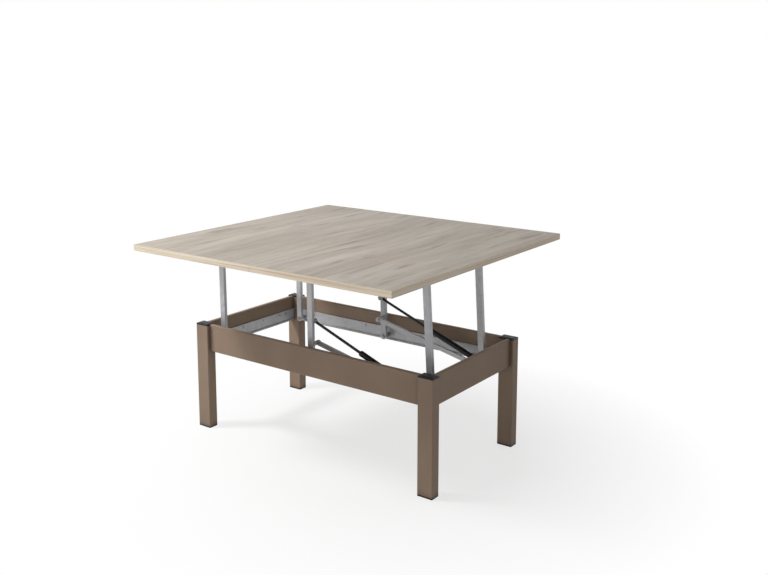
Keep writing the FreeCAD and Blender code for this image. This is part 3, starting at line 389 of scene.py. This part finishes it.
def rubber_pad():
    """Soft black rubber, matt and dusty."""
    finish = Finish("rubber_pad", Specular_IOR_Level=0.3)
    grain = finish.speckle(900.0, detail=3.0)
    dust = finish.speckle(60.0, detail=5.0)
    finish.feed("Base Color", finish.ramp(dust, [(0.35, srgb(30, 30, 30)), (0.75, srgb(48, 47, 46))]))
    finish.feed("Roughness", finish.spread(dust, 0.3, 0.7, 0.74, 0.9))
    finish.bump(grain, depth=0.06 * MILLIMETRE, edge_radius=0.8 * MILLIMETRE)
    return finish.material


FINISHES = {make.__name__: make() for make in (
    oak_top, oak_edge, frame_paint, black_plastic, grey_steel, zinc_steel, hinge_brass, spring_black,
    spring_rod_steel, slide_plastic, rubber_pad)}


def dress_nodes():
    """Gives every piece of the frame the finish of its slot in the record."""
    for row in frame["record"]["subparts"]:
        frame["nodes"][row["node"]].material_slots[0].material = FINISHES[row["material_slot"]]


def seen_directly(tree):
    """1 for light that reaches the camera straight, by reflection or through glass, 0 for lighting rays."""
    path = add_node(tree, "ShaderNodeLightPath").outputs
    seen = path["Is Camera Ray"]
    for name in ("Is Glossy Ray", "Is Transmission Ray"):
        seen = add_node(tree, "ShaderNodeMath", {0: seen, 1: path[name]}, operation="MAXIMUM").outputs[0]
    return seen


def make_floor():
    """A pale floor that keeps the table's shadow and fades to white away from it."""
    bpy.ops.mesh.primitive_plane_add(size=FLOOR_SIZE)
    floor = bpy.context.object
    floor.name = "floor"
    finish = Finish("floor", Base_Color=FLOOR_COLOUR, Roughness=FLOOR_ROUGHNESS)
    tree = finish.tree
    distance = finish.measure("DISTANCE", finish.place, SHADOW_CENTRE)
    whiteness = finish.spread(distance, SHADOW_NEAR, SHADOW_FAR, 1 - SHADOW_SHARE, 1.0)
    shown = finish.product(whiteness, seen_directly(tree))
    glow = finish.add("ShaderNodeEmission", {"Color": WHITE, "Strength": 1.0})
    surface = finish.add("ShaderNodeMixShader", {0: shown, 1: finish.shader.outputs[0], 2: glow.outputs[0]})
    tree.links.new(surface.outputs[0], tree.nodes["Material Output"].inputs["Surface"])
    floor.data.materials.append(finish.material)


def make_world():
    """Soft light from all round, stronger from the front left, seen as plain white."""
    world = bpy.data.worlds.new("studio")
    bpy.context.scene.world = world
    world.use_nodes = True
    tree = world.node_tree
    backdrop = tree.nodes["Background"]
    backdrop.inputs["Color"].default_value = WHITE
    direction = add_node(tree, "ShaderNodeTexCoord").outputs["Generated"]
    side = add_node(tree, "ShaderNodeVectorMath", {0: direction, 1: BRIGHT_SIDE}, operation="DOT_PRODUCT")
    levels = {"Value": side.outputs["Value"], "From Min": -1.0, "From Max": 1.0,
              "To Min": SKY_DIM, "To Max": SKY_BRIGHT}
    strength = add_node(tree, "ShaderNodeMapRange", levels).outputs[0]
    light = add_node(tree, "ShaderNodeBackground", {"Color": WHITE, "Strength": strength})
    shaders = {0: seen_directly(tree), 1: light.outputs[0], 2: backdrop.outputs[0]}
    sky = add_node(tree, "ShaderNodeMixShader", shaders)
    tree.links.new(sky.outputs[0], tree.nodes["World Output"].inputs["Surface"])


def softbox(name, place, target, size, watts):
    """A square soft lamp that points at a target."""
    lamp = bpy.data.lights.new(name, "AREA")
    lamp.shape = "SQUARE"
    lamp.size = size
    lamp.energy = watts
    holder = bpy.data.objects.new(name, lamp)
    holder.location = place
    holder.rotation_euler = (Vector(target) - Vector(place)).to_track_quat("-Z", "Y").to_euler()
    bpy.context.scene.collection.objects.link(holder)


def make_camera():
    """The photograph's viewpoint, fitted to the frame's and the top's edges."""
    lens = bpy.data.cameras.new("camera")
    lens.lens = LENS_LENGTH
    lens.sensor_width = SENSOR_WIDTH
    lens.shift_x = SHIFT_RIGHT
    lens.shift_y = SHIFT_UP
    camera = bpy.data.objects.new("camera", lens)
    camera.location = CAMERA_PLACE
    camera.rotation_euler = (math.pi / 2 - CAMERA_DIP, 0.0, CAMERA_TURN)
    bpy.context.scene.collection.objects.link(camera)
    bpy.context.scene.camera = camera


dress_nodes()
make_floor()
make_world()
softbox("key", **KEY_LAMP)
softbox("fill", **FILL_LAMP)
make_camera()
bpy.context.scene.view_settings.view_transform = "Standard"
